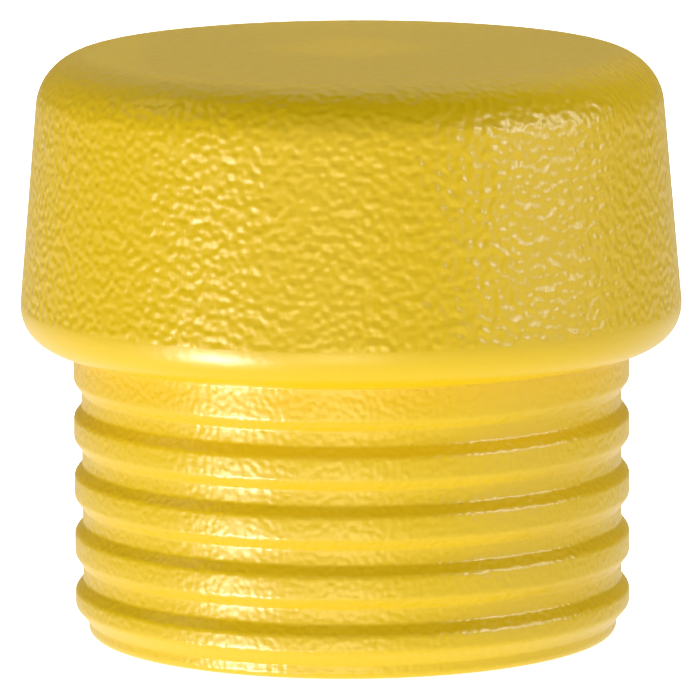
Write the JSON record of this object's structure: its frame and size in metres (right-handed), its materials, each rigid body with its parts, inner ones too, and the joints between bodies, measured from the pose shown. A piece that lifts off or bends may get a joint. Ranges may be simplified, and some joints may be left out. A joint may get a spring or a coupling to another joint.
{
  "type": "soft-face mallet insert",
  "caption": "Push-in striking face for a soft-face mallet: a grained, gently crowned round head with a rounded rim, on a ribbed press-fit spigot.",
  "frame": {"origin": "centre of the spigot's end face, on the axis", "axes": "+Z along the axis towards the striking face; the part is a body of revolution, so +X and +Y are any two directions across it"},
  "size_m": [0.05, 0.05, 0.0446],
  "materials": {
    "moulded_polyurethane": "yellow polyurethane moulding, coarse eroded grain on the striking face and side, smooth and glossy below the rim and on the spigot"
  },
  "bodies": {
    "root": {"mallet_face": "moulded_polyurethane"}
  },
  "joints": []
}
